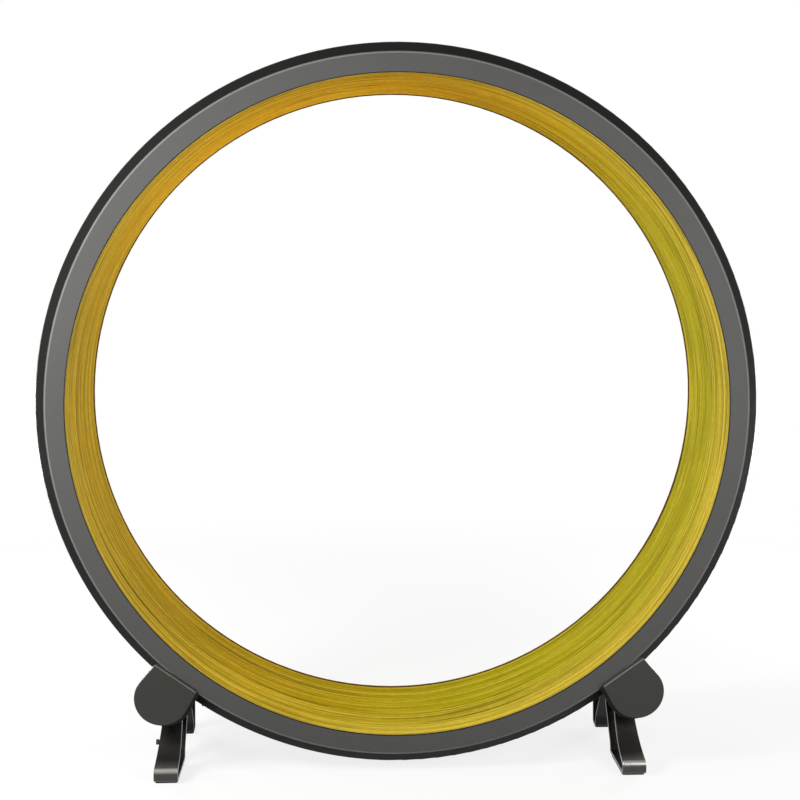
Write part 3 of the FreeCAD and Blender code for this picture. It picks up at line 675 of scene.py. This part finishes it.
# ---- Repeated and swept shapes -----------------------------------------------------
class SweptShape:
    """A geometry tree with named inputs whose result becomes a plain mesh."""

    def __init__(self, name: str, inputs: Mapping[str, Tuple[str, Number]]) -> None:
        """Make the tree and its inputs.

        Args:
            name: name of the tree.
            inputs: socket type and value of each input, by name.
        """
        self.name = name
        self.tree = bpy.data.node_groups.new(name, "GeometryNodeTree")
        self.tree.interface.new_socket("Geometry", in_out="OUTPUT",
                                       socket_type="NodeSocketGeometry")
        self.values: Dict[str, Number] = {}
        self.identifiers: Dict[str, str] = {}
        for label, (kind, value) in inputs.items():
            socket = self.tree.interface.new_socket(label, in_out="INPUT", socket_type=kind)
            self.values[label] = value
            self.identifiers[label] = socket.identifier
        self.graph = Graph(self.tree)
        self.source = self.tree.nodes.new("NodeGroupInput")

    def value(self, label: str) -> Sock:
        """One of the tree's inputs."""
        return Sock(self.graph, self.source.outputs[label])

    def finish(self, geometry: Sock, material: bpy.types.Material) -> bpy.types.Object:
        """End the tree and turn its result into a mesh object at the origin.

        Args:
            geometry: what the tree has made.
            material: finish of the piece.

        Returns:
            The new piece, named as the tree.
        """
        real = self.graph.node("GeometryNodeRealizeInstances", {}, {0: geometry})
        painted = self.graph.node("GeometryNodeSetMaterial", {}, {
            "Geometry": real, "Material": material})
        sink = self.tree.nodes.new("NodeGroupOutput")
        self.tree.links.new(painted.out, sink.inputs[0])
        host = bpy.data.objects.new(self.name + "_host", bpy.data.meshes.new(self.name + "_host"))
        bpy.context.scene.collection.objects.link(host)
        modifier = host.modifiers.new(self.name, "NODES")
        modifier.node_group = self.tree
        for label, value in self.values.items():
            modifier[self.identifiers[label]] = value
        bpy.context.view_layer.update()
        evaluated = host.evaluated_get(bpy.context.evaluated_depsgraph_get())
        mesh = bpy.data.meshes.new_from_object(evaluated)
        bpy.data.objects.remove(host)
        mesh.name = self.name
        piece = bpy.data.objects.new(self.name, mesh)
        bpy.context.scene.collection.objects.link(piece)
        LOG.info("%s: %d vertices", self.name, len(mesh.vertices))
        return piece


# ---- Wheel -------------------------------------------------------------------------
@dataclass
class RunningMat:
    """Ribbed mat inside the wheel, with a row of binding stitches along each edge."""

    crest_radius: float = 0.4581
    back_radius: float = 0.4626
    width: float = MAT_WIDTH
    ribs: int = MAT_RIBS
    steps_per_rib: int = 6
    closing_rows: int = 4
    rib_height: float = 0.0013
    segments: int = 288
    weld: float = 0.00002
    wander: float = 0.0006
    wander_around: float = 1.6
    wander_across: float = 30.0
    wander_detail: float = 2.0
    wander_seed: float = 4.0
    held_edge: float = 0.3
    stitches: int = 560
    stitch_length: float = 0.0044
    stitch_width: float = 0.0011
    stitch_inset: float = 0.0016
    stitch_spread: Span = (0.7, 1.25)
    stitch_seed: int = 11
    fibre: RibbedFibre = RibbedFibre("mat_fibre", specular=0.10)
    thread: Thread = Thread("binding_thread", roughness=0.75)

    def sweep(self, material: bpy.types.Material) -> bpy.types.Object:
        """Build the mat from a grid that is wrapped around the wheel's axis.

        The rows run across the ribs, back along the outside, and end where they began.

        Args:
            material: the mat's finish.

        Returns:
            The closed mesh.
        """
        shape = SweptShape("running_mat_ribbed", {
            "Crest Radius": ("NodeSocketFloat", self.crest_radius),
            "Back Radius": ("NodeSocketFloat", self.back_radius),
            "Width": ("NodeSocketFloat", self.width),
            "Ribs": ("NodeSocketInt", self.ribs),
            "Steps": ("NodeSocketInt", self.ribs * self.steps_per_rib),
            "Rib Height": ("NodeSocketFloat", self.rib_height),
            "Segments": ("NodeSocketInt", self.segments),
            "Wander": ("NodeSocketFloat", self.wander),
            "Seed": ("NodeSocketFloat", self.wander_seed)})
        graph = shape.graph
        steps = shape.value("Steps")
        rows = steps + self.closing_rows
        grid = graph.node("GeometryNodeMeshGrid", {}, {
            "Size X": 1.0, "Size Y": 1.0, "Vertices X": shape.value("Segments") + 1,
            "Vertices Y": rows})
        index = graph.node("GeometryNodeInputIndex", {}, {})
        row = index.math("MODULO", rows)
        column = ((index + 0.5) / rows).math("FLOOR")
        angle = column / shape.value("Segments") * math.tau

        def past(extra: int) -> Sock:
            """1 on the rows after the ribs' last row and `extra` more."""
            return row.math("GREATER_THAN", steps + (extra + 0.5))

        on_back = past(0) - past(2)
        share = (row / steps).math("MINIMUM", 1.0) * (1.0 - past(1))
        lift = (share * shape.value("Ribs") * math.tau).math("COSINE") * 0.5 + 0.5
        where = graph.node("ShaderNodeCombineXYZ", {}, {
            0: angle.math("COSINE") * self.wander_around, 1: share * self.wander_across,
            2: angle.math("SINE") * self.wander_around})
        drift = graph.node("ShaderNodeTexNoise", {"noise_dimensions": "4D"}, {
            "Vector": where, "W": shape.value("Seed"), "Scale": 1.0,
            "Detail": self.wander_detail})
        free = (share * math.pi).math("SINE").math("MINIMUM", self.held_edge) / self.held_edge
        stray = (drift - 0.5) * free * shape.value("Wander") * 2.0
        across = (share - 0.5) * shape.value("Width") + stray
        front = shape.value("Crest Radius") + lift * shape.value("Rib Height")
        radius = front * (1.0 - on_back) + shape.value("Back Radius") * on_back
        point = graph.node("ShaderNodeCombineXYZ", {}, {
            0: radius * angle.math("COSINE"), 1: across + MID_DEPTH,
            2: radius * angle.math("SINE") + AXIS_HEIGHT})
        wrapped = graph.node("GeometryNodeSetPosition", {}, {
            "Geometry": grid, "Position": point})
        closed = graph.node("GeometryNodeMergeByDistance", {}, {
            "Geometry": wrapped, "Distance": self.weld})
        smooth = graph.node("GeometryNodeSetShadeSmooth", {}, {0: closed})
        return shape.finish(smooth, material)

    def stitch_rows(self, material: bpy.types.Material) -> bpy.types.Object:
        """Repeat one stitch along both edges.

        Args:
            material: the thread's finish.

        Returns:
            One mesh with every stitch.
        """
        shape = SweptShape("mat_edge_stitches", {
            "Radius": ("NodeSocketFloat", self.crest_radius + self.rib_height * 0.5),
            "Offset": ("NodeSocketFloat", self.width / 2 - self.stitch_inset),
            "Count": ("NodeSocketInt", self.stitches),
            "Length": ("NodeSocketFloat", self.stitch_length),
            "Thickness": ("NodeSocketFloat", self.stitch_width),
            "Seed": ("NodeSocketInt", self.stitch_seed)})
        graph = shape.graph
        circle = graph.node("GeometryNodeCurvePrimitiveCircle", {"mode": "RADIUS"}, {
            "Resolution": shape.value("Count"), "Radius": shape.value("Radius")})
        bead = graph.node("GeometryNodeMeshIcoSphere", {}, {"Radius": 0.5, "Subdivisions": 1})
        edges = []
        for side in (-1.0, 1.0):
            place = graph.node("ShaderNodeCombineXYZ", {}, {
                0: 0.0, 1: shape.value("Offset") * side + MID_DEPTH, 2: AXIS_HEIGHT})
            edges.append(graph.node("GeometryNodeTransform", {}, {
                "Geometry": circle, "Translation": place, "Rotation": (math.pi / 2, 0.0, 0.0)}))
        both = self.joined(graph, edges)
        tangent = graph.node("GeometryNodeInputTangent", {}, {})
        turn = graph.node("FunctionNodeAlignEulerToVector", {"axis": "X"}, {"Vector": tangent})
        least, most = self.stitch_spread
        jitter = graph.node("FunctionNodeRandomValue", {"data_type": "FLOAT"}, {
            RANDOM_LEAST: least, RANDOM_MOST: most, "Seed": shape.value("Seed")}, RANDOM_RESULT)
        size = graph.node("ShaderNodeCombineXYZ", {}, {
            0: shape.value("Length") * jitter, 1: shape.value("Thickness") * jitter,
            2: shape.value("Thickness")})
        placed = graph.node("GeometryNodeCurveToPoints", {"mode": "EVALUATED"}, {0: both})
        turned = graph.node("GeometryNodeInstanceOnPoints", {}, {
            "Points": placed, "Instance": bead, "Rotation": turn, "Scale": size})
        return shape.finish(turned, material)

    @staticmethod
    def joined(graph: Graph, parts: Iterable[Sock]) -> Sock:
        """Join several geometries.

        Args:
            graph: the tree's graph.
            parts: what is joined.

        Returns:
            All of them as one.
        """
        join = graph.tree.nodes.new("GeometryNodeJoinGeometry")
        for part in parts:
            graph.tree.links.new(part.out, join.inputs[0])
        return Sock(graph, join.outputs[0])

    def build(self) -> None:
        """Build the mat and its stitches, and put them in the place of the plain ring."""
        mat = self.sweep(self.fibre.material())
        stitches = self.stitch_rows(self.thread.material())
        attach(mat, "wheel")
        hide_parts("running_mat")
        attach(stitches, "wheel")


@dataclass
class Wheel:
    """Two hoops, six drum panels, what holds them together, and the mat."""

    front_paint: HoopPaint = HoopPaint("hoop_paint", specular=0.04)
    rear_paint: HoopPaint = HoopPaint("hoop_paint_rear", specular=0.04,
                                      lip=(0.24, 0.125, 0.035))
    shell: MouldedPlastic = MouldedPlastic("drum_plastic", roughness=0.55, specular=0.35,
                                           colour=(0.020, 0.021, 0.021))
    strip: MouldedPlastic = MouldedPlastic("strip_plastic", roughness=0.48, specular=0.35,
                                           colour=(0.028, 0.028, 0.028))
    screw: Steel = Steel("wheel_screw_zinc", kind=SteelKind.ZINC)

    def build(self) -> None:
        """Dress the wheel's parts and lay the mat."""
        dress(["front_rim"], self.front_paint)
        dress(["rear_rim"], self.rear_paint)
        dress(PANELS, self.shell)
        dress(["panel_joint_strips"], self.strip)
        dress(["rim_screws_front", "rim_screws_rear", "panel_joint_screws"], self.screw)
        RunningMat().build()


# ---- Rollers and stand -------------------------------------------------------------
@dataclass
class Rollers:
    """Four rollers with their bearings, on two axles."""

    tyre: Rubber = Rubber("tyre_rubber", roughness=0.55)
    hub: MouldedPlastic = MouldedPlastic("hub_plastic", roughness=0.45,
                                         colour=(0.20, 0.20, 0.21), grain=2200.0)
    bearing: Steel = Steel("bearing_steel", kind=SteelKind.GROUND)
    axle: Steel = Steel("turned_steel", kind=SteelKind.TURNED)

    def build(self) -> None:
        """Dress the rollers and what stands still inside them."""
        dress([f"roller_tyre_{corner}" for corner in CORNERS], self.tyre)
        dress([f"roller_hub_{corner}" for corner in CORNERS], self.hub)
        dress([f"bearing_outer_rings_{corner}" for corner in CORNERS]
              + [f"bearing_inner_rings_{side}" for side in SIDES]
              + [f"bearing_balls_{side}" for side in SIDES], self.bearing)
        dress([f"roller_axle_{side}" for side in SIDES]
              + [f"axle_spacers_{side}" for side in SIDES], self.axle)


@dataclass
class Stand:
    """Carriages, caps, feet, tie bar and their fasteners."""

    front_coat: PowderCoat = PowderCoat("stand_coat", roughness=0.24, metallic=0.8)
    # A darker copy of the stand's coat: painted shade for the carriages, rear loops and tie bar,
    # which sit in the wheel's shadow.
    shaded_coat: PowderCoat = PowderCoat("stand_coat_painted_shade", roughness=0.40, specular=0.15,
                                        colour=(0.012, 0.011, 0.010),
                                        lighter_tone=(0.030, 0.028, 0.026))
    cap: CapPlastic = CapPlastic("cap_plastic", roughness=0.46, specular=0.20,
                                 colour=(0.052, 0.052, 0.045))
    pad: Rubber = Rubber("pad_rubber", roughness=0.7)
    bolt: Steel = Steel("bolt_zinc", kind=SteelKind.BOLT)
    nub: Steel = Steel("screw_blackened", kind=SteelKind.BLACK)

    def build(self) -> None:
        """Dress the stand."""
        dress([f"foot_loop_{side}_front" for side in SIDES], self.front_coat)
        # Carriages, rear loops and tie bar take the copy darkened as painted shade.
        dress([f"roller_carriage_{side}" for side in SIDES]
              + [f"foot_loop_{side}_rear" for side in SIDES] + ["rear_tie_bar"],
              self.shaded_coat)
        dress([f"cheek_cap_{corner}" for corner in CORNERS], self.cap)
        dress([f"foot_pad_{corner}" for corner in CORNERS], self.pad)
        dress(["foot_bolts", "foot_nuts", "tie_bolts", "tie_nuts", "cheek_screws",
               "axle_clips"], self.bolt)
        dress(["edge_screw"], self.nub)


# ---- Studio ------------------------------------------------------------------------
@dataclass(frozen=True)
class Softbox:
    """A square white area lamp that faces a point."""

    name: str
    place: Point
    target: Point
    power: float
    size: float = 0.5

    def build(self) -> None:
        """Make the lamp."""
        data = bpy.data.lights.new(self.name, "AREA")
        data.size = self.size
        data.energy = self.power
        data.color = WHITE
        lamp = bpy.data.objects.new(self.name, data)
        lamp.location = self.place
        away = Vector(self.place) - Vector(self.target)
        lamp.rotation_euler = away.to_track_quat("Z", "Y").to_euler()
        bpy.context.scene.collection.objects.link(lamp)


@dataclass
class Studio:
    """Pale floor, white surroundings, soft lamps and the camera."""

    world_light: float = 0.20
    floor_colour: Colour = (0.86, 0.86, 0.86)
    floor_bounce: Colour = (0.15, 0.15, 0.15)
    floor_white: float = 0.82
    floor_fade: Span = (0.75, 1.9)
    floor_radius: float = 14.0
    floor_corners: int = 96
    camera_place: Point = (-0.081, -1.854, 0.695)
    camera_turn: Point = (84.51, 0.0, -2.60)
    lens: float = 57.9
    sensor_width: float = 36.0
    lamps: Tuple[Softbox, ...] = (
        Softbox("key_left", (-1.10, -0.60, 1.10), (-0.3, 0.0, 0.6), 21.0),
        Softbox("fill_right", (0.85, -0.95, 0.72), (0.25, 0.0, 0.5), 6.8),
        Softbox("front_high", (0.1, -2.3, 2.2), (0.0, 0.0, 0.4), 4.0),
        Softbox("rear_low_left", (-1.40, 1.10, 0.28), (0.0, 0.0, 0.85), 31.0),
        Softbox("rear_low_right", (1.40, 1.10, 0.28), (0.0, 0.0, 0.85), 32.0),
    )

    def floor(self) -> None:
        """Lay a disc whose far part is plain white, so that no horizon shows."""
        turns = [math.tau * corner / self.floor_corners for corner in range(self.floor_corners)]
        rim = [(self.floor_radius * math.cos(turn), self.floor_radius * math.sin(turn), 0.0)
               for turn in turns]
        mesh = bpy.data.meshes.new("floor")
        mesh.from_pydata(rim, [], [list(range(self.floor_corners))])
        floor = bpy.data.objects.new("floor", mesh)
        bpy.context.scene.collection.objects.link(floor)
        mesh.materials.append(self.floor_material())

    def floor_material(self) -> bpy.types.Material:
        """Make the floor pale and mostly white where it is seen, and dull for the light.

        Returns:
            The floor's material.
        """
        material = bpy.data.materials.new("floor")
        material.use_nodes = True
        material.node_tree.nodes.clear()
        graph = ShaderGraph(material.node_tree)
        away = graph.node("ShaderNodeVectorMath", {"operation": "LENGTH"}, {0: graph.place()},
                          "Value")
        far = graph.step(away, *self.floor_fade)
        visible = graph.seen()
        colour = graph.blend(visible, self.floor_bounce, self.floor_colour)
        matt = graph.node("ShaderNodeBsdfDiffuse", {}, {"Color": colour})
        white = graph.node("ShaderNodeEmission", {}, {"Color": WHITE, "Strength": 1.0})
        share = (far * (1.0 - self.floor_white) + self.floor_white) * visible
        mixed = graph.node("ShaderNodeMixShader", {}, {0: share, 1: matt, 2: white})
        out = material.node_tree.nodes.new("ShaderNodeOutputMaterial")
        graph.feed(out.inputs["Surface"], mixed)
        return material

    def world(self) -> None:
        """Make the surroundings white where they are seen, and a plain soft light elsewhere."""
        world = bpy.data.worlds.new("surroundings")
        world.use_nodes = True
        world.node_tree.nodes.clear()
        graph = ShaderGraph(world.node_tree)
        strength = self.world_light + graph.seen() * (1.0 - self.world_light)
        light = graph.node("ShaderNodeBackground", {}, {"Color": WHITE, "Strength": strength})
        out = world.node_tree.nodes.new("ShaderNodeOutputWorld")
        graph.feed(out.inputs["Surface"], light)
        bpy.context.scene.world = world

    def camera(self) -> None:
        """Place the camera at the photograph's point of view."""
        data = bpy.data.cameras.new("camera")
        data.lens = self.lens
        data.sensor_width = self.sensor_width
        camera = bpy.data.objects.new("camera", data)
        camera.location = self.camera_place
        camera.rotation_euler = tuple(math.radians(turn) for turn in self.camera_turn)
        bpy.context.scene.collection.objects.link(camera)
        bpy.context.scene.camera = camera

    def build(self) -> None:
        """Set up the studio."""
        self.floor()
        self.world()
        self.camera()
        for lamp in self.lamps:
            lamp.build()
        bpy.context.scene.view_settings.view_transform = "Standard"


def main() -> None:
    """Build the looks around the frame and report every piece."""
    logging.basicConfig(level=logging.INFO, format="%(name)s: %(message)s")
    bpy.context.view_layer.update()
    for assembly in (Wheel(), Rollers(), Stand(), Studio()):
        assembly.build()


if __name__ == "__main__":
    main()
